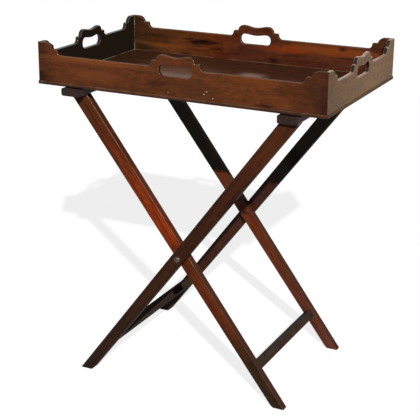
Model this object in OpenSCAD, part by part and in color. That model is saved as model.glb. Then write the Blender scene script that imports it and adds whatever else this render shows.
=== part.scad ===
// Butler's tray on a folding X-stand.
// The tray lifts off by its four pierced hand-holds. The stand is two ladder frames that
// cross on a pair of rivets, and two webbing straps stop it at its open angle.
// Origin: on the floor, midway between the feet. X runs along the tray, Y to the back, Z up.

/* [Tray] */
// Length of the tray over its sides
tray_len = 700; // [600:5:840]
// Depth of the tray over its sides
tray_dep = 433; // [400:1:520]
// Thickness of the four side boards
side_t = 9.5; // [7:0.5:14]
// Height of the sides' straight edge above the base board
side_h = 60; // [50:1:90]
// Thickness of the base board
base_t = 9; // [6:0.5:12]
// How far the rounded edge of the base board stands out past the sides
base_over = 2.5; // [0:0.5:8]
// Rounding of the base board's four corners, seen from above
base_corner_r = 7; // [3:0.5:12]
// Rounding of the upright edges where two sides meet
side_corner_r = 2.5; // [0.5:0.5:5]

/* [Scrolled gallery] */
// Height of the corners and the hand-holds above the straight edge
scroll_rise = 28; // [22:1:34]
// Height of the small step above the straight edge
step_rise = 14; // [11:0.5:20]
// Radius of the convex nose of the step
step_nose_r = 4; // [2:0.5:6]
// Flat top of the step
step_flat = 9; // [4:0.5:12]
// Flat top of each corner, measured from the end of the board
corner_flat = 21.5; // [10:0.5:35]
// Radius of the round shoulder at each corner
corner_r = 18; // [16:0.5:22]
// Rounding of the top of each corner where two boards meet
corner_end_r = 5; // [1:0.5:8]
// Distance from the middle of a hand-hold to the top of each shoulder
hold_half = 33; // [26:0.5:48]
// Radius of the round shoulders of a hand-hold
hold_r = 14; // [14:0.5:18]
// How far the top of a hand-hold dips in the middle
hold_dip = 4.5; // [0:0.5:9]

/* [Hand-hold slot] */
// Length of the slot
slot_len = 80; // [60:1:96]
// How far the slot reaches above the straight edge
slot_up = 7; // [4:0.5:10]
// How far the slot reaches below the straight edge
slot_down = 17.5; // [12:0.5:24]
// Radius of the slot's corners
slot_r = 11; // [5:0.5:11]
// How far the slot's upper edge dips in the middle
slot_dip = 2.8; // [0:0.2:4]

/* [Stand] */
// Height of the rails' tops above the floor
stand_h = 698; // [580:1:820]
// Height of the pivots above the floor
pivot_up = 328; // [290:1:380]
// Lean of the legs from upright when the stand is open
lean = 37; // [30:0.5:42]
// Width of the stand across the outer legs
stand_w = 415; // [340:1:460]

/* [Legs] */
// Thickness of a leg, along the pivots
leg_t = 19; // [15:0.5:26]
// Width of an outer leg at its top
outer_top_w = 37.5; // [28:0.5:44]
// Width of an outer leg at its foot
outer_foot_w = 27.5; // [20:0.5:34]
// Width of an inner leg at its top
inner_top_w = 36; // [28:0.5:44]
// Width of an inner leg at its foot
inner_foot_w = 25.5; // [20:0.5:32]
// Rounding of the long edges of legs, rails and stretchers
arris_r = 1.5; // [0.5:0.25:3]
// How far the blunt corner of each foot is worn away
foot_wear = 5; // [1:0.5:8]

/* [Rails and stretchers] */
// Width of a top rail
rail_w = 47; // [38:0.5:60]
// Thickness of a top rail
rail_t = 18; // [16:0.5:28]
// Length of the top rails
rail_len = 442; // [420:1:520]
// Rounding of a rail's long edges on the outside
rail_outer_r = 5; // [3:0.5:7]
// Rounding of a rail's long edges on the inside
rail_inner_r = 3; // [1:0.5:5]
// How far the rails are set in from the middle of the legs' tops
rail_set_in = 8; // [0:0.5:10]
// Width of a stretcher, along the legs
stretcher_w = 21; // [16:0.5:30]
// Thickness of a stretcher, across the legs
stretcher_t = 22; // [14:0.5:23]
// Distance of the inner stretcher from the floor, along the leg
inner_stretcher_up = 105; // [70:1:180]
// Distance of the outer stretcher from the floor, along the leg
outer_stretcher_up = 119; // [70:1:180]

/* [Tenons] */
// Length of the tenons on the legs and stretchers
tenon_len = 13; // [8:0.5:14]
// Shoulder left on each side of a stretcher's tenon
stretcher_shoulder = 5; // [3:0.5:7]
// Width of a leg's tenon
leg_tenon_w = 16; // [12:0.5:24]
// Thickness of a leg's tenon
leg_tenon_t = 9; // [6:0.5:12]
// Clearance round a tenon
tenon_gap = 0.1; // [0.05:0.05:0.3]

/* [Pivot rivets] */
// Diameter of a rivet's shank
rivet_d = 6.5; // [5:0.5:9]
// Diameter of a rivet's domed head
rivet_head_d = 16; // [12:0.5:22]
// Height of the domed head
rivet_head_h = 4.2; // [2.5:0.1:6]
// Diameter of the hammered tail
rivet_tail_d = 8.5; // [8:0.5:10]
// Height of the hammered tail
rivet_tail_h = 1.2; // [0.8:0.1:3]
// Diameter of the washer under the hammered tail, let in flush with the wood
rove_d = 11; // [10:0.5:14]
// Thickness of that washer
rove_t = 1.5; // [1:0.1:3]
// Diameter of the spacer washer between the two legs
spacer_d = 17; // [14:0.5:22]
// Thickness of the spacer washer
spacer_t = 3; // [1.5:0.1:5]
// Running clearance of a rivet or its washer in a leg, on the radius
pivot_gap = 0.05; // [0.02:0.01:0.1]

/* [Straps] */
// Width of a webbing strap
strap_w = 50; // [30:1:70]
// Thickness of the webbing
strap_t = 1.2; // [1:0.1:3]
// Distance from the middle of the stand to the middle of each strap
strap_y = 100; // [60:1:125]
// How far each strap hangs down a rail's outer face
strap_drop = 15; // [12:0.5:16]
// Clearance between the webbing and what it lies on
strap_gap = 0.3; // [0.2:0.05:0.5]
// Tacks in each end of a strap
tack_count = 3; // [2:1:5]
// Diameter of a tack's head
tack_head_d = 6.5; // [5:0.5:9]
// Diameter of a tack's shank
tack_d = 1.6; // [1.2:0.1:2.2]
// Length of a tack's shank below its head
tack_len = 12; // [8:0.5:16]

/* [Base screws] */
// Screws into each long side
screws_long = 5; // [3:1:8]
// Screws into each short side
screws_short = 3; // [2:1:5]
// Distance of the end screws from the tray's corners
screw_inset = 40; // [25:1:60]
// Diameter of a screw's shank
screw_d = 3; // [2.5:0.1:3.5]
// Diameter of a screw's countersunk head
screw_head_d = 6; // [5:0.1:7]
// Length of a screw
screw_len = 20; // [14:0.5:26]

/* [Hidden] */

mahogany = "#7a3f22";
dark_mahogany = "#4a2818";
iron = "#6f6b66";
webbing = "#a08a62";
brass = "#b08d4a";

// Smoothness of round holes and shanks, and steps in each drawn arc
round_fn = 48;
arc_steps = 10;
// A cut runs this far past the face that it opens
over = 1;
// The screws and tacks have this clearance in the wood, on the radius
fastener_gap = 0.03;

// The stand, seen along the pivots
rail_under = stand_h - rail_t;
foot_dist = pivot_up / cos(lean);
shoulder_dist = (rail_under - pivot_up) / cos(lean);
rail_mid_x = (stand_h - rail_t / 2 - pivot_up) * tan(lean) - rail_set_in;
rail_out_x = rail_mid_x + rail_w / 2;
// A leg's top is cut off plumb where the rail's rounded edge begins to fall away
leg_out_x = rail_out_x - rail_outer_r / 2;

// The stand, seen along the tray: how far out each leg's outer face is
outer_y = stand_w / 2;
inner_y = outer_y - leg_t - spacer_t;

// The tray rests on the straps
tray_up = stand_h + strap_gap + strap_t + strap_gap;
side_up = tray_up + base_t;

// ---- Outlines ----

// Points along a circle round c, from angle a0 to a1
function arc(c, r, a0, a1) =
    [for (i = [0 : arc_steps]) let (a = a0 + (a1 - a0) * i / arc_steps) c + r * [cos(a), sin(a)]];

// The points in the opposite order, mirrored to the other side of x = 0
function mirrored(points) = [for (i = [len(points) - 1 : -1 : 0]) [-points[i].x, points[i].y]];

// An ogee from [0, z - dip] to [run, z], level at both ends, made of two equal arcs
function ogee(run, z, dip) =
    let (r = (run * run / 4 + dip * dip / 4) / dip, a = asin(run / 2 / r))
    concat(arc([0, z - dip + r], r, 270, 270 + a), arc([run, z - r], r, 90 + a, 90));

// Corners of a rectangle with rounded corners, centred
function rounded_rect(w, h, r) = concat(
    arc([w / 2 - r, h / 2 - r], r, 0, 90), arc([r - w / 2, h / 2 - r], r, 90, 180),
    arc([r - w / 2, r - h / 2], r, 180, 270), arc([w / 2 - r, r - h / 2], r, 270, 360));

// Angle above level at which a shoulder of radius r springs from the step
function spring(r) = asin((step_rise - scroll_rise + r) / r);

cove_r = step_rise - step_nose_r;

// Upper edge of a hand-hold, from its middle to the straight edge on its right
function hold_edge() =
    let (step_x = hold_half + hold_r * cos(spring(hold_r)),
         nose_x = step_x + step_flat)
    concat(
        ogee(hold_half, scroll_rise, hold_dip),
        arc([hold_half, scroll_rise - hold_r], hold_r, 90, spring(hold_r)),
        arc([nose_x, cove_r], step_nose_r, 90, 0),
        arc([nose_x + step_nose_r + cove_r, cove_r], cove_r, 180, 270));

// Upper edge of a corner, from the straight edge to the right end of a board len_b long
function corner_edge(len_b) =
    let (shoulder_x = len_b / 2 - corner_flat,
         nose_x = shoulder_x - corner_r * cos(spring(corner_r)) - step_flat)
    concat(
        arc([nose_x - step_nose_r - cove_r, cove_r], cove_r, 270, 360),
        arc([nose_x, cove_r], step_nose_r, 180, 90),
        arc([shoulder_x, scroll_rise - corner_r], corner_r, 180 - spring(corner_r), 90),
        arc([len_b / 2 - corner_end_r, scroll_rise - corner_end_r], corner_end_r, 90, 0));

// A whole side board, with its bottom edge on y = 0
module board_outline(len_b) {
    top = concat(hold_edge(), corner_edge(len_b));
    translate([0, side_h])
        polygon(concat([[-len_b / 2, -side_h], [len_b / 2, -side_h]],
                       [for (i = [len(top) - 1 : -1 : 0]) top[i]],
                       [for (p = top) [-p.x, p.y]]));
}

// The slot in a hand-hold. Its upper edge follows the dip of the hand-hold.
module slot_outline() {
    end_x = slot_len / 2 - slot_r;
    half = concat(
        ogee(end_x, slot_up, slot_dip),
        arc([end_x, slot_up - slot_r], slot_r, 90, 0),
        arc([end_x, slot_r - slot_down], slot_r, 360, 270));
    translate([0, side_h]) polygon(concat(half, mirrored(half)));
}

// ---- Tray ----

// Places for n things in a row from -reach to +reach
function spread(n, reach) = [for (i = [0 : n - 1]) -reach + 2 * reach * i / (n - 1)];

// A board len_b long with mitred ends. Its outer face is on y = -dep_b / 2.
module side_board(len_b, dep_b) {
    inside = dep_b / 2 - side_t;
    difference() {
        intersection() {
            translate([0, -inside, side_up]) rotate([90, 0, 0])
                linear_extrude(side_t) difference() {
                    board_outline(len_b);
                    slot_outline();
                }
            // The mitres: the board's plan is a trapezium, with the tray's rounded corners
            translate([0, 0, side_up - over])
                linear_extrude(side_h + scroll_rise + 2 * over) intersection() {
                    polygon([[-len_b / 2, -dep_b / 2], [len_b / 2, -dep_b / 2],
                             [len_b / 2 - side_t, -inside], [side_t - len_b / 2, -inside]]);
                    polygon(rounded_rect(len_b, dep_b, side_corner_r));
                }
        }
        screws(len_b, dep_b, fastener_gap);
    }
}

// The screws under one side board, or the holes for them when gap is more than 0
module screws(len_b, dep_b, gap) {
    count = len_b > dep_b ? screws_long : screws_short;
    head_h = (screw_head_d - screw_d) / 2;
    for (x = spread(count, len_b / 2 - screw_inset))
        translate([x, (side_t - dep_b) / 2, tray_up]) {
            cylinder(h = screw_len + gap, d = screw_d + 2 * gap, $fn = round_fn);
            cylinder(h = head_h + gap, d1 = screw_head_d + 2 * gap, d2 = screw_d + 2 * gap,
                     $fn = round_fn);
        }
}

// Each side in turn: a turn of 0 is the front, 90 the right, 180 the back, 270 the left
module at_side(turn) {
    rotate([0, 0, turn]) children();
}

module tray_front_board() { color(mahogany) at_side(0) side_board(tray_len, tray_dep); }
module tray_back_board() { color(mahogany) at_side(180) side_board(tray_len, tray_dep); }
module tray_left_end() { color(mahogany) at_side(270) side_board(tray_dep, tray_len); }
module tray_right_end() { color(mahogany) at_side(90) side_board(tray_dep, tray_len); }

// All the screws, or all their holes
module all_screws(gap) {
    for (turn = [0, 180]) at_side(turn) screws(tray_len, tray_dep, gap);
    for (turn = [90, 270]) at_side(turn) screws(tray_dep, tray_len, gap);
}

module tray_screws() { color(brass) all_screws(0); }

// A slab whose two long edges are full rounds: w across, l along Y
module round_edged_slab(w, l) {
    translate([0, l / 2, base_t / 2]) rotate([90, 0, 0]) linear_extrude(l)
        polygon(rounded_rect(w, base_t, base_t / 2 - 0.01));
}

module tray_base() {
    base_len = tray_len + 2 * base_over;
    base_dep = tray_dep + 2 * base_over;
    color(mahogany) difference() {
        translate([0, 0, tray_up]) intersection() {
            round_edged_slab(base_len, base_dep);
            rotate([0, 0, 90]) round_edged_slab(base_dep, base_len);
            linear_extrude(base_t) polygon(rounded_rect(base_len, base_dep, base_corner_r));
        }
        all_screws(fastener_gap);
    }
}

// ---- Stand ----
// Everything on the stand is drawn as on the outer frame, whose legs lean towards +X.
// The inner frame is the same frame in mirror image, and narrower.

// The leg's own space: the pivot at the origin and +Z up the leg
module along_leg() {
    translate([0, 0, pivot_up]) rotate([0, lean, 0]) children();
}

// A thin slice of a leg at distance s above the pivot, with its outer face on y = 0
module leg_slice(top_w, foot_w, s) {
    up = (s + foot_dist) / (shoulder_dist + foot_dist);
    translate([0, leg_t / 2, s]) linear_extrude(0.01)
        polygon(rounded_rect(foot_w + (top_w - foot_w) * up, leg_t, arris_r));
}

// Tenon on the top of a leg, cut level in the rail. It grows by gap for the mortise.
module leg_tenon(gap) {
    intersection() {
        along_leg() translate([-leg_tenon_w / 2 - gap, (leg_t - leg_tenon_t) / 2 - gap, 0])
            cube([leg_tenon_w + 2 * gap, leg_tenon_t + 2 * gap, shoulder_dist + 2 * rail_t]);
        translate([0, 0, rail_under - over])
            cube([2 * rail_out_x, leg_t, over + tenon_len + 2 * gap]);
    }
}

// Where a stretcher meets the leg, at distance up from the floor along the leg
module at_stretcher(up) {
    along_leg() translate([0, 0, up - foot_dist]) children();
}

// Tenon of a stretcher, running towards -Y from y = leg_t. It grows by gap for the mortise.
module stretcher_tenon(gap) {
    w = stretcher_t - 2 * stretcher_shoulder + 2 * gap;
    h = stretcher_w - 2 * stretcher_shoulder + 2 * gap;
    translate([-w / 2, leg_t - tenon_len - gap, -h / 2]) cube([w, tenon_len + 2 * gap, h]);
}

// A tapered leg, with its outer face on y = 0 and its inner face towards +Y.
// seat_d is the recess for a washer round the pivot on its inner face, if any.
module leg(top_w, foot_w, stretcher_up, seat_d = 0) {
    foot_x = -pivot_up * tan(lean);
    blunt_x = foot_x + foot_w / 2 / cos(lean);
    union() {
        difference() {
            intersection() {
                along_leg() hull() {
                    leg_slice(top_w, foot_w, -foot_dist - top_w);
                    leg_slice(top_w, foot_w, shoulder_dist + top_w);
                }
                // Level cuts at the floor and under the rail, and the worn foot corner
                translate([0, leg_t + over, 0]) rotate([90, 0, 0])
                    linear_extrude(leg_t + 2 * over)
                        polygon([[foot_x - foot_w, 0],
                                 [blunt_x - foot_wear, 0],
                                 [blunt_x + foot_wear * sin(lean) / 3, foot_wear],
                                 [leg_out_x, rail_under - over],
                                 [leg_out_x, rail_under],
                                 [0, rail_under], [foot_x - foot_w, over]]);
            }
            at_pivot() {
                translate([0, 0, -over])
                    cylinder(h = leg_t + 2 * over, d = rivet_d + 2 * pivot_gap, $fn = round_fn);
                if (seat_d > 0)
                    translate([0, 0, leg_t - rove_t])
                        cylinder(h = rove_t + over, d = seat_d, $fn = round_fn);
            }
            at_stretcher(stretcher_up) stretcher_tenon(tenon_gap);
        }
        leg_tenon(0);
    }
}

// The same piece at the front and, in mirror image, at the back
module at_front(y) { translate([0, -y, 0]) children(); }
module at_back(y) { mirror([0, 1, 0]) at_front(y) children(); }
// The inner frame leans the other way
module inner() { mirror([1, 0, 0]) children(); }

module outer_leg() { color(mahogany) leg(outer_top_w, outer_foot_w, outer_stretcher_up); }
module inner_leg() {
    color(mahogany) inner()
        leg(inner_top_w, inner_foot_w, inner_stretcher_up, rove_d + 2 * pivot_gap);
}

module outer_leg_front() { at_front(outer_y) outer_leg(); }
module outer_leg_back() { at_back(outer_y) outer_leg(); }
module inner_leg_front() { at_front(inner_y) inner_leg(); }
module inner_leg_back() { at_back(inner_y) inner_leg(); }

// Section of a top rail. Its outer edges, towards +X, are rounder than its inner ones.
module rail_section() {
    in_x = rail_inner_r - rail_w / 2;
    out_x = rail_w / 2 - rail_outer_r;
    in_z = rail_t / 2 - rail_inner_r;
    out_z = rail_t / 2 - rail_outer_r;
    polygon(concat(
        arc([out_x, out_z], rail_outer_r, 0, 90), arc([in_x, in_z], rail_inner_r, 90, 180),
        arc([in_x, -in_z], rail_inner_r, 180, 270), arc([out_x, -out_z], rail_outer_r, 270, 360)));
}

// A top rail for legs whose outer faces are legs_y from the middle
module rail(legs_y) {
    difference() {
        translate([rail_mid_x, rail_len / 2, stand_h - rail_t / 2]) rotate([90, 0, 0])
            linear_extrude(rail_len) rail_section();
        at_front(legs_y) leg_tenon(tenon_gap);
        at_back(legs_y) leg_tenon(tenon_gap);
        strap_tacks(fastener_gap);
    }
}

module outer_rail() { color(dark_mahogany) rail(outer_y); }
module inner_rail() { color(dark_mahogany) inner() rail(inner_y); }

// A stretcher between legs whose outer faces are legs_y from the middle
module stretcher(legs_y, up) {
    length = 2 * (legs_y - leg_t);
    at_stretcher(up) translate([0, length / 2, 0]) rotate([90, 0, 0])
        linear_extrude(length) polygon(rounded_rect(stretcher_t, stretcher_w, arris_r));
    at_front(legs_y) at_stretcher(up) stretcher_tenon(0);
    at_back(legs_y) at_stretcher(up) stretcher_tenon(0);
}

module outer_stretcher() { color(dark_mahogany) stretcher(outer_y, outer_stretcher_up); }
module inner_stretcher() { color(dark_mahogany) inner() stretcher(inner_y, inner_stretcher_up); }

// ---- Pivots ----

// Space of a pivot: the axis is +Z, from the outer leg's outer face inwards
module at_pivot() {
    translate([0, 0, pivot_up]) rotate([-90, 0, 0]) children();
}

// A cap cut from a ball, d across and h high, standing on z = 0
module cap(d, h) {
    ball_r = (d * d / 4 + h * h) / 2 / h;
    intersection() {
        translate([0, 0, h - ball_r]) sphere(r = ball_r, $fn = 2 * round_fn);
        cylinder(h = h + over, d = d + over, $fn = round_fn);
    }
}

module ring(h, d, bore) {
    difference() {
        cylinder(h = h, d = d, $fn = round_fn);
        translate([0, 0, -over]) cylinder(h = h + 2 * over, d = bore, $fn = round_fn);
    }
}

// Distance from the outer leg's outer face to the inner leg's inner face
grip = 2 * leg_t + spacer_t;

module rivet() {
    at_pivot() {
        mirror([0, 0, 1]) cap(rivet_head_d, rivet_head_h);
        cylinder(h = grip, d = rivet_d, $fn = round_fn);
        translate([0, 0, grip]) cap(rivet_tail_d, rivet_tail_h);
    }
}

module rove() {
    at_pivot() translate([0, 0, grip - rove_t]) ring(rove_t, rove_d, rivet_d + 2 * pivot_gap);
}

module spacer() {
    at_pivot() translate([0, 0, leg_t]) ring(spacer_t, spacer_d, rivet_d + 2 * pivot_gap);
}

module pivot_rivet_front() { color(iron) at_front(outer_y) rivet(); }
module pivot_rivet_back() { color(iron) at_back(outer_y) rivet(); }
module rivet_rove_front() { color(iron) at_front(outer_y) rove(); }
module rivet_rove_back() { color(iron) at_back(outer_y) rove(); }
module spacer_washer_front() { color(iron) at_front(outer_y) spacer(); }
module spacer_washer_back() { color(iron) at_back(outer_y) spacer(); }

// ---- Straps ----

// The rails' tops and outer faces as one block, grown by out on every side
module strap_former(out) {
    r = rail_outer_r + out;
    w = rail_out_x + out;
    polygon(concat(
        [[-w, stand_h - 2 * rail_t]], arc([r - w, stand_h + out - r], r, 180, 90),
        arc([w - r, stand_h + out - r], r, 90, 0), [[w, stand_h - 2 * rail_t]]));
}

// A strap over both rails and down their outer faces, centred on y
module strap(y) {
    difference() {
        translate([0, y + strap_w / 2, 0]) rotate([90, 0, 0]) linear_extrude(strap_w)
            intersection() {
                difference() {
                    strap_former(strap_gap + strap_t);
                    strap_former(strap_gap);
                }
                translate([-2 * rail_out_x, stand_h - strap_drop])
                    square([4 * rail_out_x, 2 * strap_drop]);
            }
        strap_tacks(strap_gap);
        inner() strap_tacks(strap_gap);
    }
}

// The tacks in one rail, or their holes grown by gap on the radius
module strap_tacks(gap) {
    head_x = rail_out_x + 2 * strap_gap + strap_t;
    row = strap_w / 2 - tack_head_d;
    for (y = [-strap_y, strap_y], along = spread(tack_count, row))
        translate([head_x, y + along, stand_h - strap_drop / 2 - 1]) rotate([0, -90, 0]) {
            cylinder(h = tack_len, d = tack_d + 2 * gap, $fn = round_fn / 2);
            if (gap == 0) mirror([0, 0, 1]) cap(tack_head_d, 1.2);
        }
}

module strap_front() { color(webbing) strap(-strap_y); }
module strap_back() { color(webbing) strap(strap_y); }
module strap_tacks_outer() { color(iron) strap_tacks(0); }
module strap_tacks_inner() { color(iron) inner() strap_tacks(0); }

// ---- Nodes ----

tray_front_board();
tray_back_board();
tray_left_end();
tray_right_end();
tray_base();
tray_screws();
inner_leg_front();
inner_leg_back();
inner_rail();
inner_stretcher();
outer_leg_front();
outer_leg_back();
outer_rail();
outer_stretcher();
pivot_rivet_front();
pivot_rivet_back();
rivet_rove_front();
rivet_rove_back();
spacer_washer_front();
spacer_washer_back();
strap_front();
strap_back();
strap_tacks_inner();
strap_tacks_outer();
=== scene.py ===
# A butler's tray on its folding X-stand: polished mahogany, iron rivets and jute webbing.
import math
import bpy
from mathutils import Matrix, Vector


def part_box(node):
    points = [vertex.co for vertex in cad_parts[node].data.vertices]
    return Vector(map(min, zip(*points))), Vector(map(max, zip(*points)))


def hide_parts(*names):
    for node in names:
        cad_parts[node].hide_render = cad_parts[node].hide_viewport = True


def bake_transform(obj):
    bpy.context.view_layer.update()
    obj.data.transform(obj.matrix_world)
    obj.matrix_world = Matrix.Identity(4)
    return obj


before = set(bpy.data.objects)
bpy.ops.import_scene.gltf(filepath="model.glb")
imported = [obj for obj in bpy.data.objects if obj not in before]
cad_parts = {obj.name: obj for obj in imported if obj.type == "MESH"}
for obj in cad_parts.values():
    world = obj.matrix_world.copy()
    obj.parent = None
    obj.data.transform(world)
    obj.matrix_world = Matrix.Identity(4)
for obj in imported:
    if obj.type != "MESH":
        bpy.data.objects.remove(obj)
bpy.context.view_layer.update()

# ---------------------------------------------------------------------------
# TRAY BASE
# One thin mahogany board under the four sides, its edge rounded with a plane.
# Its floor was polished with shellac and waxed for years, so it mirrors the sides a little.

def linear(hex_colour):
    """An sRGB hex colour as the linear red, green, blue and alpha that a shader takes."""
    parts = [int(hex_colour[i:i + 2], 16) / 255 for i in (1, 3, 5)]
    return [p / 12.92 if p <= 0.04045 else ((p + 0.055) / 1.055) ** 2.4 for p in parts] + [1]


# Inputs go by socket name or number. In a Map Range, 0 is the value, 1 and 2 are the range
# that it comes from, and 3 and 4 are the range that it goes to.
def add(tree, kind, inputs=None, stops=None, **settings):
    """Adds a shader node with its settings, its ramp's stops and its inputs: a socket is linked."""
    node = tree.nodes.new(kind)
    for name, value in settings.items():
        setattr(node, name, value)
    if stops:
        ramp = node.color_ramp
        while len(ramp.elements) < len(stops):
            ramp.elements.new(1)
        for element, (place, colour) in zip(ramp.elements, stops):
            element.position, element.color = place, colour
    for name, value in (inputs or {}).items():
        if isinstance(value, bpy.types.NodeSocket):
            tree.links.new(value, node.inputs[name])
        else:
            node.inputs[name].default_value = value
    return node


def lay_over(material, share, colour, blend="MIX"):
    """Lays a colour over a material's own, as much as share says at each point."""
    tree = material.node_tree
    shade = tree.nodes["Principled BSDF"].inputs["Base Color"]
    # The two colours of a Mix node are its inputs 6 and 7, and its output 2
    top = add(tree, "ShaderNodeMix", {0: share, 6: shade.links[0].from_socket, 7: colour},
              data_type="RGBA", blend_type=blend)
    tree.links.new(top.outputs[2], shade)


def drawn_out(tree, place, lengthwise, across, detail, roughness=0.55):
    """Noise drawn out along X, the way of the grain. Its sizes are in millimetres."""
    size = add(tree, "ShaderNodeVectorMath",
               {0: place, 1: (1000 / lengthwise, 1000 / across, 1000 / across)},
               operation="MULTIPLY").outputs["Vector"]
    return add(tree, "ShaderNodeTexNoise", {"Vector": size, "Scale": 1.0, "Detail": detail,
                                            "Roughness": roughness}).outputs["Fac"]


def polished_mahogany(name, tones, along="Z", turn=(0, 0, 0), shift=(0, 0, 0), figure=1.0,
                      streak=(210, 6), cloud=(75, 20), through="Y", wear=0.3, side=None,
                      tops=None, film=(0.08, 0.3, 0.08), gloss=0.12, waves=0.0005):
    """Old mahogany under a worn shellac polish: red-brown wood with dark streaks and fine
    pores, dull on its broad faces and glossy on the edges, which hands have burnished.
    tones are (place, hex colour) stops along an axis of the object, in metres. turn brings the
    grain to lie along X, and shift moves it so that no two boards are alike. figure is how
    strongly the wood is marked; streak and cloud are the length and width of its two kinds of
    mark, in millimetres. through is the axis through the piece's thickness, once turned. wear
    is how far the edges are rubbed. side and tops are (hex colour, share) for the narrow faces
    and for those that look up. film is how much polish is left on the broad faces, on the
    edges and on the narrow faces; gloss is its roughness, and waves is the height in metres of
    the unevenness that it covers."""
    material = bpy.data.materials.new(name)
    material.use_nodes = True
    tree = material.node_tree
    shader = tree.nodes["Principled BSDF"]
    place = add(tree, "ShaderNodeTexCoord").outputs["Object"]
    grain = add(tree, "ShaderNodeMapping",
                {"Vector": place, "Rotation": turn, "Location": shift}).outputs["Vector"]
    # The grain wanders by some 6 mm over a length of 170 mm
    wander = add(tree, "ShaderNodeTexNoise", {"Vector": grain, "Scale": 6.0, "Detail": 1.0})
    wavy = add(tree, "ShaderNodeVectorMath",
               {0: wander.outputs["Color"], 1: (0.0, 0.014, 0.014), 2: grain},
               operation="MULTIPLY_ADD").outputs["Vector"]
    streaks = drawn_out(tree, wavy, *streak, detail=4.0, roughness=0.6)
    clouds = drawn_out(tree, wavy, *cloud, detail=3.0, roughness=0.5)
    mottle = drawn_out(tree, wavy, 14, 9, detail=3.0, roughness=0.6)
    fibres = drawn_out(tree, wavy, 22, 1.4, detail=3.0, roughness=0.6)
    pores = drawn_out(tree, wavy, 5, 0.7, detail=1.0)

    # The main colour of the piece, from one place on it to another
    where = add(tree, "ShaderNodeSeparateXYZ", {0: place})
    first, last = tones[0][0], tones[-1][0]
    share = add(tree, "ShaderNodeMapRange", {0: where.outputs[along], 1: first, 2: last}).outputs[0]
    tone = add(tree, "ShaderNodeValToRGB", {0: share},
               stops=[((p - first) / (last - first), linear(c)) for p, c in tones]).outputs["Color"]
    tree.links.new(tone, shader.inputs["Base Color"])

    # The figure, half streaks and half clouds: dark purple-brown through to orange-brown
    both = add(tree, "ShaderNodeMath", {0: streaks, 1: 0.5}, operation="MULTIPLY").outputs[0]
    both = add(tree, "ShaderNodeMath", {0: clouds, 1: 0.5, 2: both},
               operation="MULTIPLY_ADD").outputs[0]
    low, high = 1 - 0.58 * figure, 1 + 0.5 * figure
    shade = add(tree, "ShaderNodeValToRGB", {0: both}, stops=[
        (0.36, (low, low * 1.05, low * 1.15, 1)), (0.48, (0.93, 0.94, 0.95, 1)),
        (0.54, (1.08, 1.07, 1.04, 1)), (0.66, (high, high * 0.96, high * 0.85, 1))]).outputs[0]
    lay_over(material, 1.0, shade, "MULTIPLY")
    # A ripple of light across it, the fine fibres, and pores filled with dark polish
    for marks, brightest in ((mottle, 1.2), (fibres, 1.18)):
        ripple = add(tree, "ShaderNodeMapRange",
                     {0: marks, 1: 0.3, 2: 0.7, 3: 0.8, 4: brightest}).outputs[0]
        lay_over(material, 1.0, ripple, "MULTIPLY")
    pitted = add(tree, "ShaderNodeMapRange",
                 {0: pores, 1: 0.6, 2: 0.72, 3: 0.0, 4: 0.35}).outputs[0]
    lay_over(material, pitted, linear("#1c0f08"))

    # Which way the surface faces tells the broad faces, where square is 1, from the narrow
    # ones, where it is 0, and from the rounded edges between them
    facing = add(tree, "ShaderNodeNewGeometry").outputs["Normal"]
    square = add(tree, "ShaderNodeMapping", {"Vector": facing, "Rotation": turn},
                 vector_type="VECTOR").outputs["Vector"]
    square = add(tree, "ShaderNodeSeparateXYZ", {0: square}).outputs[through]
    square = add(tree, "ShaderNodeMath", {0: square, 1: square}, operation="MULTIPLY").outputs[0]
    if side:
        narrow = add(tree, "ShaderNodeMapRange",
                     {0: square, 1: 0.7, 2: 0.3, 3: 0.0, 4: side[1]}).outputs[0]
        lay_over(material, narrow, linear(side[0]))
    # Faces that look up are laid over paler: dust, and a painted sheen of light along the top edges
    if tops:
        upward = add(tree, "ShaderNodeSeparateXYZ", {0: facing}).outputs["Z"]
        upward = add(tree, "ShaderNodeMapRange",
                     {0: upward, 1: 0.92, 2: 0.99, 3: 0.0, 4: tops[1]}).outputs[0]
        lay_over(material, upward, linear(tops[0]))

    # Hands rub the edges paler, in patches some 20 mm long, and more from the crossing of
    # the legs upwards than near their feet. Where wear is high, as on the inner front leg, this
    # pale edge is also a painted highlight.
    edge = add(tree, "ShaderNodeMath", {0: square, 1: 0.5}, operation="SUBTRACT").outputs[0]
    edge = add(tree, "ShaderNodeMath", {0: edge}, operation="ABSOLUTE").outputs[0]
    edge = add(tree, "ShaderNodeMapRange", {0: edge, 1: 0.48, 2: 0.3, 3: 0.0, 4: 1.0}).outputs[0]
    patchy = add(tree, "ShaderNodeTexNoise",
                 {"Vector": place, "Scale": 45.0, "Detail": 3.0}).outputs["Fac"]
    patchy = add(tree, "ShaderNodeMapRange",
                 {0: patchy, 1: 0.35, 2: 0.65, 3: 0.15 * wear, 4: wear}).outputs[0]
    handled = add(tree, "ShaderNodeMapRange",
                  {0: where.outputs["Z"], 1: 0.2, 2: 0.34, 3: 0.25, 4: 1.0}).outputs[0]
    rub = add(tree, "ShaderNodeMath", {0: edge, 1: handled}, operation="MULTIPLY").outputs[0]
    rub = add(tree, "ShaderNodeMath", {0: rub, 1: patchy}, operation="MULTIPLY").outputs[0]
    lay_over(material, rub, linear("#9a704c"))

    # What is left of the polish reflects little face on and much at a grazing angle
    on_broad, on_edges, on_narrow = film
    polish = add(tree, "ShaderNodeValToRGB", {0: square}, stops=[
        (at, (amount, amount, amount, 1)) for at, amount in
        ((0.02, on_narrow), (0.2, on_edges), (0.7, on_edges), (0.97, on_broad))]).outputs["Color"]
    tree.links.new(polish, shader.inputs["Coat Weight"])
    shader.inputs["Coat Roughness"].default_value = gloss
    shader.inputs["Coat IOR"].default_value = 1.6
    shader.inputs["Specular IOR Level"].default_value = 0.0
    dull = add(tree, "ShaderNodeMapRange", {0: streaks, 1: 0.3, 2: 0.7, 3: 0.45, 4: 0.6}).outputs[0]
    tree.links.new(dull, shader.inputs["Roughness"])

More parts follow.
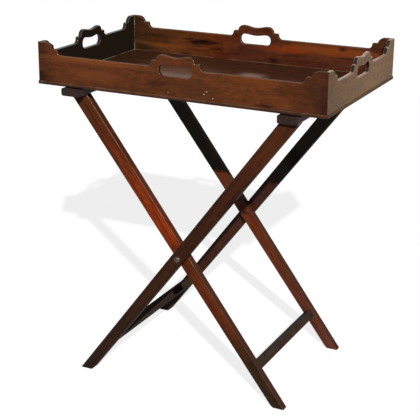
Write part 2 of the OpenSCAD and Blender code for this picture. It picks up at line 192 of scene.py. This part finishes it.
    # Hand-planed and polished: slow waves some 55 mm apart, with the pores sunk a little
    slow = add(tree, "ShaderNodeTexNoise",
               {"Vector": place, "Scale": 18.0, "Detail": 0.0}).outputs["Fac"]
    height = add(tree, "ShaderNodeMath", {0: pitted, 1: -0.02, 2: slow},
                 operation="MULTIPLY_ADD").outputs[0]
    relief = add(tree, "ShaderNodeBump",
                 {"Height": height, "Strength": 1.0, "Distance": waves}).outputs[0]
    tree.links.new(relief, shader.inputs["Normal"])
    tree.links.new(relief, shader.inputs["Coat Normal"])
    return material


def stains(material, spots, turn=(0, 0, 0), broken=1.0):
    """Stains, knots and patches of another colour. Each is (middle, half sizes in metres,
    strength, hex colour); turn brings the grain to lie along X, as it does for the wood.
    broken is how much the grain breaks up their edges."""
    full_within, gone_beyond = 0.25, 1.25  # of the half sizes
    tree = material.node_tree
    place = add(tree, "ShaderNodeTexCoord").outputs["Object"]
    grain = add(tree, "ShaderNodeMapping", {"Vector": place, "Rotation": turn}).outputs["Vector"]
    ragged = drawn_out(tree, grain, 30, 4, detail=4.0, roughness=0.65)
    for middle, half_sizes, strength, hex_colour in spots:
        off = add(tree, "ShaderNodeVectorMath", {0: place, 1: middle},
                  operation="SUBTRACT").outputs[0]
        off = add(tree, "ShaderNodeMapping", {"Vector": off, "Rotation": turn}).outputs["Vector"]
        off = add(tree, "ShaderNodeVectorMath", {0: off, 1: half_sizes},
                  operation="DIVIDE").outputs[0]
        away = add(tree, "ShaderNodeVectorMath", {0: off}, operation="LENGTH").outputs["Value"]
        away = add(tree, "ShaderNodeMath", {0: ragged, 1: 2 * broken, 2: away},
                   operation="MULTIPLY_ADD").outputs[0]
        share = add(tree, "ShaderNodeMapRange",
                    {0: away, 1: broken + gone_beyond, 2: broken + full_within,
                     3: 0.0, 4: strength}, interpolation_type="SMOOTHSTEP").outputs[0]
        lay_over(material, share, linear(hex_colour))


def dusty_joint(material, axis, at, strength=0.6, width=0.0017):
    """The pale line of old wax and dust in a corner, where a plane meets it. It comes and goes
    every 30 mm or so; width is how far it spreads from the plane, in metres."""
    tree = material.node_tree
    place = add(tree, "ShaderNodeTexCoord").outputs["Object"]
    where = add(tree, "ShaderNodeSeparateXYZ", {0: place}).outputs[axis]
    off = add(tree, "ShaderNodeMath", {0: where, 1: at}, operation="SUBTRACT").outputs[0]
    off = add(tree, "ShaderNodeMath", {0: off}, operation="ABSOLUTE").outputs[0]
    near = add(tree, "ShaderNodeMapRange",
               {0: off, 1: width, 2: 0.4 * width, 3: 0.0, 4: 1.0}).outputs[0]
    ragged = add(tree, "ShaderNodeTexNoise",
                 {"Vector": place, "Scale": 30.0, "Detail": 4.0}).outputs["Fac"]
    thick = add(tree, "ShaderNodeMapRange",
                {0: ragged, 1: 0.38, 2: 0.6, 3: 0.1, 4: strength}).outputs[0]
    share = add(tree, "ShaderNodeMath", {0: near, 1: thick}, operation="MULTIPLY").outputs[0]
    lay_over(material, share, linear("#a89274"))


def finish(node, material, eased=0.0006, rounded=None):
    """Gives a piece its finish. Its sharp edges are eased a little, as sandpaper and wear do,
    or only those that rounded picks, a group of geometry nodes that writes bevel weights."""
    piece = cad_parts[node]
    piece.data.materials[0] = material
    if eased:
        weld = piece.modifiers.new("joined", "WELD")
        weld.merge_threshold = 0.00001
        flat = piece.modifiers.new("flat faces", "DECIMATE")
        flat.decimate_type = "DISSOLVE"
        flat.angle_limit = math.radians(0.6)
        if rounded:
            piece.modifiers.new("edges to round", "NODES").node_group = rounded
        edge = piece.modifiers.new("eased edges", "BEVEL")
        edge.width = eased
        edge.segments = 4
        edge.use_clamp_overlap = not rounded
        edge.limit_method = "WEIGHT" if rounded else "ANGLE"
        edge.angle_limit = math.radians(30)
        normals = piece.modifiers.new("smooth", "WEIGHTED_NORMAL")
        normals.weight = 60
        normals.keep_sharp = True


base_mahogany = polished_mahogany(
    "mahogany board, shellac polished", [(-0.34, "#3c2618"), (-0.1, "#4a2b1c"), (0.34, "#42261a")],
    along="X", shift=(0.31, 0.12, 0), figure=0.45, through="Z",
    film=(0.3, 0.12, 0.08), gloss=0.14, waves=0.0001)
# In the middle of the floor cups and glasses have taken the colour out. The small pale
# patch right of the middle is a painted reflection of the back board's hand-hold in the
# polished floor. A stain's half size through the wood is 50 mm, so that it is the same all the way
floor_height, deep = 0.709, 0.05
stains(base_mahogany, [((-0.12, 0.0, floor_height), (0.15, 0.10, deep), 0.6, "#7c5444"),
                       ((0.056, 0.052, floor_height), (0.038, 0.034, deep), 0.58, "#a88670")],
       broken=0.7)
# The right edge is paler and greyer
stains(base_mahogany, [((0.354, 0.0, 0.703), (0.004, 0.4, 0.02), 0.6, "#6a5a40")], broken=0.2)
# Underneath it was left bare, and has gone dry and brown
tree = base_mahogany.node_tree
polish = tree.nodes["Principled BSDF"].inputs["Coat Weight"]
facing = add(tree, "ShaderNodeNewGeometry").outputs["Normal"]
facing = add(tree, "ShaderNodeSeparateXYZ", {0: facing}).outputs["Z"]
above = add(tree, "ShaderNodeMapRange", {0: facing, 1: -0.9, 2: -0.6, 3: 0.05, 4: 1.0}).outputs[0]
polished = add(tree, "ShaderNodeMath", {0: polish.links[0].from_socket, 1: above},
               operation="MULTIPLY").outputs[0]
tree.links.new(polished, polish)
bare = add(tree, "ShaderNodeMath", {0: 0.8, 1: above}, operation="SUBTRACT",
           use_clamp=True).outputs[0]
lay_over(base_mahogany, bare, linear("#4c3626"))
left_inside, back_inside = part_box("tray_left_end")[1][0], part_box("tray_back_board")[0][1]
dusty_joint(base_mahogany, "X", left_inside, 1.0, 0.0035)
dusty_joint(base_mahogany, "Y", back_inside, 0.9, 0.0035)
finish("tray_base", base_mahogany)

# ---------------------------------------------------------------------------
# FRONT AND BACK BOARDS
# Thin mahogany boards, fretted by hand along the top, pierced for the fingers and mitred.
# The front is a warm brown; the back, seen from inside, is redder with dark streaks and knots.

# Hands have rounded the fretted edges by some 2 mm; the mitres and the feet of the boards
# stay sharp. These geometry nodes tell one kind of edge from the other
hand_rounding = 0.0022
corner_zone, mitre_slack, foot_zone = 0.0045, 0.0003, 0.001
worn_edges = bpy.data.node_groups.new("fretted edges", "GeometryNodeTree")
worn_edges.interface.new_socket("Geometry", in_out="INPUT", socket_type="NodeSocketGeometry")
worn_edges.interface.new_socket("Geometry", in_out="OUTPUT", socket_type="NodeSocketGeometry")
half_length, half_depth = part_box("tray_right_end")[1][0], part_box("tray_back_board")[1][1]
board_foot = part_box("tray_back_board")[0][2]
place = add(worn_edges, "GeometryNodeInputPosition").outputs[0]
corner = add(worn_edges, "ShaderNodeVectorMath", {0: place}, operation="ABSOLUTE").outputs[0]
corner = add(worn_edges, "ShaderNodeVectorMath",
             {0: corner, 1: (half_length, half_depth, board_foot)}, operation="SUBTRACT").outputs[0]
corner = add(worn_edges, "ShaderNodeSeparateXYZ", {0: corner}).outputs
# On a mitre the two distances from the corner are the same
mitre = add(worn_edges, "ShaderNodeMath", {0: corner["X"], 1: corner["Y"], 2: mitre_slack},
            operation="COMPARE").outputs[0]
near = add(worn_edges, "ShaderNodeMath", {0: corner["X"], 1: corner["Y"]},
           operation="MINIMUM").outputs[0]
near = add(worn_edges, "ShaderNodeMath", {0: near, 1: -corner_zone},
           operation="GREATER_THAN").outputs[0]
near = add(worn_edges, "ShaderNodeMath", {0: near, 1: mitre}, operation="MAXIMUM").outputs[0]
low = add(worn_edges, "ShaderNodeMath", {0: corner["Z"], 1: foot_zone},
          operation="LESS_THAN").outputs[0]
near = add(worn_edges, "ShaderNodeMath", {0: near, 1: low}, operation="MAXIMUM").outputs[0]
sharp = add(worn_edges, "GeometryNodeInputMeshEdgeAngle").outputs[0]
sharp = add(worn_edges, "ShaderNodeMath", {0: sharp, 1: math.radians(30)},
            operation="GREATER_THAN").outputs[0]
crisp = add(worn_edges, "ShaderNodeMath", {0: sharp, 1: near}, operation="MULTIPLY").outputs[0]
worn = add(worn_edges, "ShaderNodeMath", {0: sharp, 1: crisp}, operation="SUBTRACT").outputs[0]
board = add(worn_edges, "NodeGroupInput").outputs[0]
board = add(worn_edges, "GeometryNodeStoreNamedAttribute",
            {"Geometry": board, "Name": "bevel_weight_edge", "Value": worn},
            domain="EDGE").outputs[0]
board = add(worn_edges, "GeometryNodeSetShadeSmooth", {"Geometry": board}, domain="FACE").outputs[0]
board = add(worn_edges, "GeometryNodeSetShadeSmooth",
            {"Geometry": board, "Selection": crisp, "Shade Smooth": False},
            domain="EDGE").outputs[0]
add(worn_edges, "NodeGroupOutput", {0: board})

front_mahogany = polished_mahogany(
    "mahogany front board, waxed",
    [(-0.35, "#4a2714"), (-0.3, "#603117"), (-0.05, "#5c3018"), (0.12, "#643517"),
     (0.24, "#683617"), (0.30, "#522a15"), (0.35, "#452414")],
    along="X", figure=0.4, cloud=(60, 16), side=("#24160e", 0.9), tops=("#6a4a30", 0.9))
front_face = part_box("tray_front_board")[0][1]
# Broad lighter and darker patches, then small dark marks and dirty ends
stains(front_mahogany, [((-0.20, front_face, 0.735), (0.08, deep, 0.014), 0.4, "#7c4420"),
                        ((0.0, front_face, 0.711), (0.30, deep, 0.013), 0.3, "#472815"),
                        ((0.18, front_face, 0.765), (0.06, deep, 0.012), 0.4, "#7c4118"),
                        ((-0.20, front_face, 0.764), (0.16, deep, 0.009), 0.6, "#84481f"),
                        ((0.04, front_face, 0.732), (0.09, deep, 0.016), 0.4, "#482814")],
       broken=0.6)
stains(front_mahogany, [((0.212, front_face, 0.711), (0.022, deep, 0.006), 0.85, "#1a0f09"),
                        ((0.256, front_face, 0.746), (0.04, deep, 0.012), 0.4, "#1a0f09"),
                        ((-0.05, front_face, 0.731), (0.03, deep, 0.010), 0.55, "#2c180e"),
                        ((-0.336, front_face, 0.776), (0.012, deep, 0.008), 0.5, "#1a0f09"),
                        ((-0.345, front_face, 0.716), (0.024, deep, 0.02), 0.7, "#1a0f09"),
                        ((0.345, front_face, 0.722), (0.022, deep, 0.03), 0.5, "#1a0f09")],
       broken=1.5)
# A painted shade down the rounded left corner, which faces away from the lamp
stains(front_mahogany, [((-0.3505, front_face, 0.745), (0.0035, deep, 0.06), 0.8, "#1c140d")],
       broken=0.3)
# Pale specks 2 mm across: painted highlights of small dents
tree = front_mahogany.node_tree
place = add(tree, "ShaderNodeTexCoord").outputs["Object"]
for x, z, strength in ((0.076, 0.727, 0.85), (0.070, 0.721, 0.85), (0.091, 0.714, 0.85),
                       (-0.017, 0.716, 0.35)):
    off = add(tree, "ShaderNodeVectorMath", {0: place, 1: (x, front_face, z)},
              operation="DISTANCE").outputs["Value"]
    dent_highlight = add(tree, "ShaderNodeMapRange",
                {0: off, 1: 0.0013, 2: 0.0009, 3: 0.0, 4: strength}).outputs[0]
    lay_over(front_mahogany, dent_highlight, linear("#d8cdb8"))
finish("tray_front_board", front_mahogany, hand_rounding, worn_edges)

back_mahogany = polished_mahogany(
    "mahogany back board, red and knotty",
    [(-0.35, "#3c2416"), (-0.25, "#553018"), (-0.17, "#603218"), (-0.10, "#5c2a12"),
     (-0.02, "#50281a"), (0.1, "#4e2818"), (0.2, "#50291a"), (0.35, "#542c1a")],
    along="X", shift=(0.1, 0.3, 0.05), figure=0.8, streak=(160, 7), cloud=(90, 16),
    side=("#24160e", 0.9), tops=("#5c4030", 0.9))
# Lighter and redder bands, then knots, dark streaks and a darker patch low in the left corner
stains(back_mahogany, [((0.20, back_inside, 0.754), (0.15, deep, 0.015), 0.85, "#80401a"),
                       ((0.09, back_inside, 0.747), (0.09, deep, 0.010), 0.6, "#8a360f"),
                       ((-0.25, back_inside, 0.726), (0.07, deep, 0.008), 0.7, "#784018")],
       broken=0.7)
stains(back_mahogany, [((-0.149, back_inside, 0.746), (0.05, deep, 0.008), 0.95, "#1a0f09"),
                       ((-0.101, back_inside, 0.731), (0.02, deep, 0.006), 0.7, "#1a0f09"),
                       ((-0.194, back_inside, 0.712), (0.016, deep, 0.004), 0.8, "#1a0f09"),
                       ((-0.312, back_inside, 0.718), (0.036, deep, 0.009), 0.7, "#1f170e"),
                       ((0.049, back_inside, 0.716), (0.014, deep, 0.010), 0.75, "#1a0f09"),
                       ((0.104, back_inside, 0.733), (0.040, deep, 0.005), 0.4, "#1a0f09"),
                       ((0.227, back_inside, 0.760), (0.012, deep, 0.006), 0.8, "#1a0f09")],
       broken=1.5)
dusty_joint(back_mahogany, "X", left_inside, 0.65)
finish("tray_back_board", back_mahogany, hand_rounding, worn_edges)

# ---------------------------------------------------------------------------
# END BOARDS
# The same mahogany, fretted and mitred alike, with the grain across the tray.
# Inside, the left end is almost black; the right end has faded.

quarter = math.radians(-90)  # brings grain that runs across the tray to lie along X
left_mahogany = polished_mahogany(
    "mahogany end board, blackened inside", [(-0.2, "#5a341f"), (0.2, "#52301d")],
    along="Y", turn=(0, 0, quarter), shift=(0.05, 0.2, 0.4), figure=0.6,
    side=("#1a140e", 0.95), tops=("#4c4036", 0.8), film=(0.08, 1.0, 0.3))
# The black starts 1 to 4 mm in from the outer face
left_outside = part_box("tray_left_end")[0][0]
tree = left_mahogany.node_tree
place = add(tree, "ShaderNodeTexCoord").outputs["Object"]
inwards = add(tree, "ShaderNodeSeparateXYZ", {0: place}).outputs["X"]
black = add(tree, "ShaderNodeMapRange",
            {0: inwards, 1: left_outside + 0.001, 2: left_outside + 0.004,
             3: 0.0, 4: 0.94}).outputs[0]
lay_over(left_mahogany, black, linear("#221f17"))
dusty_joint(left_mahogany, "Y", back_inside, 0.65)
finish("tray_left_end", left_mahogany, hand_rounding, worn_edges)

right_mahogany = polished_mahogany(
    "mahogany end board, waxed",
    [(-0.21, "#6d4c22"), (-0.1, "#805a2f"), (0.12, "#886035"), (0.21, "#7c562d")],
    along="Y", turn=(0, 0, quarter), shift=(0.55, 0.0, 0.1), figure=0.3,
    side=("#16110e", 0.97), tops=("#c09c82", 0.95), film=(0.25, 1.0, 0.3), gloss=0.08)
finish("tray_right_end", right_mahogany, hand_rounding, worn_edges)

# ---------------------------------------------------------------------------
# SCREWS UNDER THE TRAY
# Countersunk brass screws, driven up through the base into each board.
# Turned brass gone dull: a soft yellow-brown metal with fine turning marks.

def worn_metal(name, bright, dark, roughness, marks_apart):
    """A metal with tarnish in patches 4 mm across, and under it the fine marks of turning or
    hammering, marks_apart millimetres from one to the next."""
    material = bpy.data.materials.new(name)
    material.use_nodes = True
    tree = material.node_tree
    shader = tree.nodes["Principled BSDF"]
    place = add(tree, "ShaderNodeTexCoord").outputs["Object"]
    patches = add(tree, "ShaderNodeTexNoise",
                  {"Vector": place, "Scale": 1000 / 4, "Detail": 4.0}).outputs["Fac"]
    marks = add(tree, "ShaderNodeTexNoise",
                {"Vector": place, "Scale": 1000 / marks_apart, "Detail": 2.0}).outputs["Fac"]
    colour = add(tree, "ShaderNodeValToRGB", {0: patches},
                 stops=[(0.38, linear(dark)), (0.62, linear(bright))]).outputs["Color"]
    tree.links.new(colour, shader.inputs["Base Color"])
    dull = add(tree, "ShaderNodeMapRange",
               {0: patches, 1: 0.3, 2: 0.7, 3: roughness + 0.15, 4: roughness}).outputs[0]
    tree.links.new(dull, shader.inputs["Roughness"])
    relief = add(tree, "ShaderNodeBump",
                 {"Height": marks, "Strength": 0.6, "Distance": 0.0002}).outputs[0]
    tree.links.new(relief, shader.inputs["Normal"])
    shader.inputs["Metallic"].default_value = 1.0
    return material


dull_brass = worn_metal("brass, turned and dull", "#b08a48", "#6a4c22", 0.35, 0.8)
finish("tray_screws", dull_brass, None)

# ---------------------------------------------------------------------------
# LEGS
# Straight-grained mahogany, planed to a taper and crossed in pairs. The inner pair is a
# bright orange-red; the outer pair is dark brown, redder towards the rails. High up, the
# back pair is painted dark olive-grey: a painted shadow of the tray.

lean = math.radians(37)
inner_turn, outer_turn = (0, math.pi / 2 + lean, 0), (0, math.pi / 2 - lean, 0)
# Each leg's finish: name, turn, shift, figure, wear, and its colours from the foot upwards
leg_finishes = {
    # Its strong wear gives a pale line down its edges: wear, and a painted highlight of the lamp on
    # its right edge
    "inner_leg_front": (
        "mahogany leg, orange red", inner_turn, (0.2, 0.1, 0.3), 0.9, 0.75,
        [(0.0, "#322113"), (0.1, "#382212"), (0.15, "#4c240f"), (0.24, "#64280e"),
         (0.3, "#56260e"), (0.34, "#742a0c"), (0.38, "#8c310c"), (0.43, "#94360d"),
         (0.52, "#682a0f"), (0.62, "#5c2a13"), (0.7, "#562a14")]),
    "inner_leg_back": (
        # From 0.43 m up this leg is painted dark olive-grey: a painted shadow of the tray
        "mahogany leg, red brown", inner_turn, (0.7, 0.0, 0.1), 0.8, 0.12,
        [(0.0, "#603224"), (0.12, "#5c2c1c"), (0.25, "#602b16"), (0.36, "#6c2e16"),
         (0.425, "#643018"), (0.435, "#32281e"), (0.7, "#302a20")]),
    "outer_leg_front": (
        "mahogany leg, dark brown", outer_turn, (0.1, 0.5, 0.0), 0.6, 0.12,
        [(0.0, "#2c1e13"), (0.2, "#321c0e"), (0.4, "#371b0d"), (0.53, "#391c0e"),
         (0.59, "#4e2711"), (0.7, "#4c2411")]),
    # From about 0.43 m up this leg is painted dark olive-grey: a painted shadow of the tray
    "outer_leg_back": (
        "mahogany leg, brown", outer_turn, (0.9, 0.2, 0.0), 0.7, 0.12,
        [(0.0, "#3a2218"), (0.3, "#402218"), (0.41, "#3c2016"), (0.45, "#382f24"),
         (0.7, "#302a21")]),
}
# Dark streaks down the top half of the inner front leg, and redder heartwood in the outer one
inner_face, outer_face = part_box("inner_leg_front")[0][1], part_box("outer_leg_front")[0][1]
leg_marks = {
    "inner_leg_front": [((-0.226, inner_face, 0.628), (0.10, deep, 0.0025), 0.8, "#38190c"),
                        ((-0.069, inner_face, 0.4387), (0.09, deep, 0.0032), 0.6, "#54230f")],
    "outer_leg_front": [((0.16, outer_face, 0.54), (0.19, deep, 0.007), 0.35, "#582610"),
                        ((-0.06, outer_face, 0.25), (0.16, deep, 0.006), 0.4, "#48241a")],
}
for leg, (leg_name, turn, shift, figure, wear, tones) in leg_finishes.items():
    leg_mahogany = polished_mahogany(
        leg_name, tones, turn=turn, shift=shift, figure=figure, streak=(420, 5), cloud=(90, 12),
        wear=wear, side=("#4a2c20", 0.75), film=(0.08, 0.25, 0.08))
    if leg in leg_marks:
        stains(leg_mahogany, leg_marks[leg], turn, broken=0.4)
    finish(leg, leg_mahogany, None)

# ---------------------------------------------------------------------------
# RAILS AND STRETCHERS
# Heavier mahogany, stained nearly black, with the grain across the stand.
# The rails keep a soft polish, most of it on their edges; the stretchers are dull and dusty.

rail_mahogany = polished_mahogany(
    "mahogany rail, dark stained", [(-0.223, "#33211c"), (0.223, "#38241d")],
    along="Y", turn=(0, 0, quarter), shift=(0.2, 0.6, 0.1), figure=0.5, through="Z",
    film=(0.18, 0.6, 0.18))
finish("inner_rail", rail_mahogany, None)
finish("outer_rail", rail_mahogany, None)
for stretcher, tilt in (("inner_stretcher", lean), ("outer_stretcher", -lean)):
    stretcher_mahogany = polished_mahogany(
        "mahogany " + stretcher.replace("_", " ") + ", dull and dusty",
        [(-0.2, "#3f3328"), (0.2, "#3d3127")],
        along="Y", turn=(0, tilt, quarter), shift=(0.4, 0.1, 0.7), figure=0.5, through="Z",
        wear=0.1, film=(0.04, 0.06, 0.04))
    finish(stretcher, stretcher_mahogany, None)

# ---------------------------------------------------------------------------
# RIVETS
# Soft iron rivets with domed heads, hammered over washers so that the legs still turn.
# The heads are a dull grey-brown, rubbed brighter in patches.

dull_iron = worn_metal("wrought iron, dull", "#62574f", "#3a302a", 0.42, 1.2)
# From just inside the legs' outer faces they are brown with rust and old wax
tree = dull_iron.node_tree
place = add(tree, "ShaderNodeTexCoord").outputs["Object"]
outwards = add(tree, "ShaderNodeSeparateXYZ", {0: place}).outputs["Y"]
outwards = add(tree, "ShaderNodeMath", {0: outwards}, operation="ABSOLUTE").outputs[0]
brown = add(tree, "ShaderNodeMapRange",
            {0: outwards, 1: -outer_face - 0.0005, 2: -outer_face - 0.0015,
             3: 0.0, 4: 0.9}).outputs[0]
lay_over(dull_iron, brown, linear("#2a1c14"))
for rivet in ("pivot_rivet_front", "pivot_rivet_back", "rivet_rove_front", "rivet_rove_back",
              "spacer_washer_front", "spacer_washer_back"):
    finish(rivet, dull_iron, None)

# ---------------------------------------------------------------------------
# WEBBING STRAPS
# Two strips of jute upholstery webbing over the rails, 50 mm wide, which stop the stand at
# its open angle. Plain woven in coarse threads, with a red-brown stripe near each edge.

# Half of a strap lies flat, turns down round the rounded edge of a rail, and is tacked to
# its outer side. It stays strap_clear off the wood, and is as long as its middle layer
strap_width, strap_thickness, strap_clear = 0.050, 0.0012, 0.0003
rail_round = 0.005
rail_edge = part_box("outer_rail")[1][0]
rail_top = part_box("outer_rail")[1][2]
strap_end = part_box("strap_front")[0][2]
bend = rail_round + strap_clear + strap_thickness / 2
top_half = rail_edge - rail_round
drop = rail_top - rail_round - strap_end
strap_length = 2 * (top_half + bend * math.pi / 2 + drop)


def over_the_rails(along):
    """The place of a strap's middle layer, in X and Z, at a distance from its middle."""
    side = math.copysign(1, along)
    beyond = abs(along) - top_half
    if beyond <= 0:
        return along, rail_top - rail_round + bend
    angle = min(beyond / bend, math.pi / 2)
    lower = beyond - bend * math.pi / 2 if angle == math.pi / 2 else 0
    return (side * (top_half + bend * math.sin(angle)),
            rail_top - rail_round + bend * math.cos(angle) - lower)


# Undyed jute: pale brown fibres, hairy and dull, with a painted shade where the threads dip and
# paler crests
thread = 0.0017  # from one thread to the next, each way
jute = bpy.data.materials.new("jute webbing, plain woven")
jute.use_nodes = True
tree = jute.node_tree
shader = tree.nodes["Principled BSDF"]
cloth = add(tree, "ShaderNodeUVMap", uv_map="UVMap").outputs["UV"]
threads = add(tree, "ShaderNodeVectorMath",
              {0: cloth, 1: (strap_length / thread, strap_width / thread, 1)},
              operation="MULTIPLY").outputs[0]
apart = add(tree, "ShaderNodeSeparateXYZ", {0: threads})
crests = []
for across_thread in ("Y", "X"):
    crest = add(tree, "ShaderNodeMath", {0: apart.outputs[across_thread], 1: math.pi},
                operation="MULTIPLY").outputs[0]
    crest = add(tree, "ShaderNodeMath", {0: crest}, operation="SINE").outputs[0]
    crest = add(tree, "ShaderNodeMath", {0: crest}, operation="ABSOLUTE").outputs[0]
    crests.append(crest)
over = add(tree, "ShaderNodeTexChecker", {"Vector": threads, "Scale": 1.0}).outputs["Fac"]
weave = add(tree, "ShaderNodeMix", {0: over, 2: crests[0], 3: crests[1]},
            data_type="FLOAT").outputs[0]
hairs = add(tree, "ShaderNodeTexNoise",
            {"Vector": threads, "Scale": 1.6, "Detail": 4.0}).outputs["Fac"]
shade = add(tree, "ShaderNodeMath", {0: hairs, 1: 0.6, 2: weave},
            operation="MULTIPLY_ADD").outputs[0]
colour = add(tree, "ShaderNodeValToRGB", {0: shade}, stops=[
    (0.35, linear("#4e3c28")), (0.8, linear("#8a7250")), (12 / 13, linear("#b09870"))]).outputs[0]
tree.links.new(colour, shader.inputs["Base Color"])
relief = add(tree, "ShaderNodeBump",
             {"Height": shade, "Strength": 0.9, "Distance": 0.0005}).outputs[0]
tree.links.new(relief, shader.inputs["Normal"])
# The stripes are 3.4 mm wide, 17 mm from the middle of the strap
stripe_place, stripe_half = 0.017 / strap_width, 0.0017 / strap_width
across = add(tree, "ShaderNodeSeparateXYZ", {0: cloth}).outputs["Y"]
from_middle = add(tree, "ShaderNodeMath", {0: across, 1: 0.5}, operation="SUBTRACT").outputs[0]
from_middle = add(tree, "ShaderNodeMath", {0: from_middle}, operation="ABSOLUTE").outputs[0]
stripe = add(tree, "ShaderNodeMath", {0: from_middle, 1: stripe_place},
             operation="SUBTRACT").outputs[0]
stripe = add(tree, "ShaderNodeMath", {0: stripe}, operation="ABSOLUTE").outputs[0]
stripe = add(tree, "ShaderNodeMath", {0: stripe, 1: stripe_half}, operation="LESS_THAN").outputs[0]
stripe = add(tree, "ShaderNodeMath", {0: stripe, 1: 0.6}, operation="MULTIPLY").outputs[0]
lay_over(jute, stripe, linear("#4a2a1c"))
shader.inputs["Roughness"].default_value = 0.95
shader.inputs["Specular IOR Level"].default_value = 0.2
shader.inputs["Sheen Weight"].default_value = 0.3

for strap in ("strap_front", "strap_back"):
    low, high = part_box(strap)
    middle = (low[1] + high[1]) / 2
    bpy.ops.object.select_all(action="DESELECT")
    bpy.ops.mesh.primitive_grid_add(x_subdivisions=240, y_subdivisions=12, size=1, calc_uvs=True)
    webbing = bpy.context.object
    webbing.name = "webbing_" + strap.split("_")[1]
    for point in webbing.data.vertices:
        x, z = over_the_rails(point.co.x * strap_length)
        point.co = (x, middle + point.co.y * strap_width, z)
    thickness = webbing.modifiers.new("thickness", "SOLIDIFY")
    thickness.thickness = strap_thickness
    thickness.offset = 0
    bpy.ops.object.modifier_apply(modifier="thickness")
    bpy.ops.object.shade_smooth_by_angle(angle=math.radians(40))
    webbing.data.materials.append(jute)
    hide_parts(strap)
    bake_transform(webbing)

# ---------------------------------------------------------------------------
# TACKS
# Blued steel tacks, three in each end of a strap, with low domed heads.
# The blue has gone to a dark brownish grey.

blued_steel = worn_metal("steel tacks, blued", "#4a4a50", "#2a2624", 0.38, 0.5)
finish("strap_tacks_inner", blued_steel, None)
finish("strap_tacks_outer", blued_steel, None)

# ---------------------------------------------------------------------------
# FLOOR, LIGHT AND CAMERA
# A plain white studio floor and walls, one lamp high on the right and a weak one behind.
# Floor and walls look white to the camera and in reflections, but light the tray only a little.

def seen_straight(tree):
    """1 where the camera, a reflection or a clear surface looks straight at the studio."""
    ray = add(tree, "ShaderNodeLightPath").outputs
    seen = add(tree, "ShaderNodeMath", {0: ray["Is Camera Ray"], 1: ray["Is Glossy Ray"]},
               operation="MAXIMUM").outputs[0]
    return add(tree, "ShaderNodeMath", {0: seen, 1: ray["Is Transmission Ray"]},
               operation="MAXIMUM").outputs[0]


bpy.ops.object.select_all(action="DESELECT")
bpy.ops.mesh.primitive_plane_add(size=60, location=(0, 8, 0))
floor = bpy.context.object
floor.name = "studio_floor"
paper = bpy.data.materials.new("white paper floor")
paper.use_nodes = True
tree = paper.node_tree
tree.nodes.clear()
matt = add(tree, "ShaderNodeBsdfDiffuse", {"Color": linear("#8c8c8c")}).outputs[0]
glow = add(tree, "ShaderNodeEmission", {"Color": (1, 1, 1, 1), "Strength": 0.82}).outputs[0]
both = add(tree, "ShaderNodeAddShader", {0: matt, 1: glow}).outputs[0]
mixed = add(tree, "ShaderNodeMixShader", {0: seen_straight(tree), 1: matt, 2: both}).outputs[0]
add(tree, "ShaderNodeOutputMaterial", {"Surface": mixed})
floor.data.materials.append(paper)

world = bpy.data.worlds.new("studio")
bpy.context.scene.world = world
world.use_nodes = True
tree = world.node_tree
tree.nodes.clear()
room = add(tree, "ShaderNodeBackground", {"Color": (1, 1, 1, 1), "Strength": 0.09}).outputs[0]
white = add(tree, "ShaderNodeBackground", {"Color": (1, 1, 1, 1), "Strength": 1.0}).outputs[0]
mixed = add(tree, "ShaderNodeMixShader", {0: seen_straight(tree), 1: room, 2: white}).outputs[0]
add(tree, "ShaderNodeOutputWorld", {"Surface": mixed})


def lamp(name, towards, strength, spread):
    """A distant lamp whose light travels towards a direction; spread is in degrees."""
    data = bpy.data.lights.new(name, "SUN")
    data.energy = strength
    data.angle = math.radians(spread)
    light = bpy.data.objects.new(name, data)
    light.rotation_euler = Vector(towards).to_track_quat("-Z", "Y").to_euler()
    bpy.context.scene.collection.objects.link(light)


lamp("key_lamp", towards=(-0.6125, 1.0, -0.716), strength=3.5, spread=1.0)
lamp("back_lamp", towards=(0.7, -1.0, -0.6), strength=0.3, spread=40)

# The camera's place in metres and its turns in radians: to the left, down, and about its axis
eye = Vector((1.1277, -2.3597, 1.2775))
yaw, pitch, roll = -0.4521, -0.3289, 0.0100
ahead = Vector((math.sin(yaw) * math.cos(pitch), math.cos(yaw) * math.cos(pitch), math.sin(pitch)))
level = Vector((math.cos(yaw), -math.sin(yaw), 0))
upright = level.cross(ahead)
right = math.cos(roll) * level + math.sin(roll) * upright
up = math.cos(roll) * upright - math.sin(roll) * level
lens = bpy.data.cameras.new("camera")
lens.sensor_width = 36
lens.lens = 98.47
camera = bpy.data.objects.new("camera", lens)
turned = Matrix((right, up, -ahead)).transposed()
camera.matrix_world = Matrix.Translation(eye) @ turned.to_4x4()
bpy.context.scene.collection.objects.link(camera)
bpy.context.scene.camera = camera
bpy.context.scene.view_settings.view_transform = "Standard"
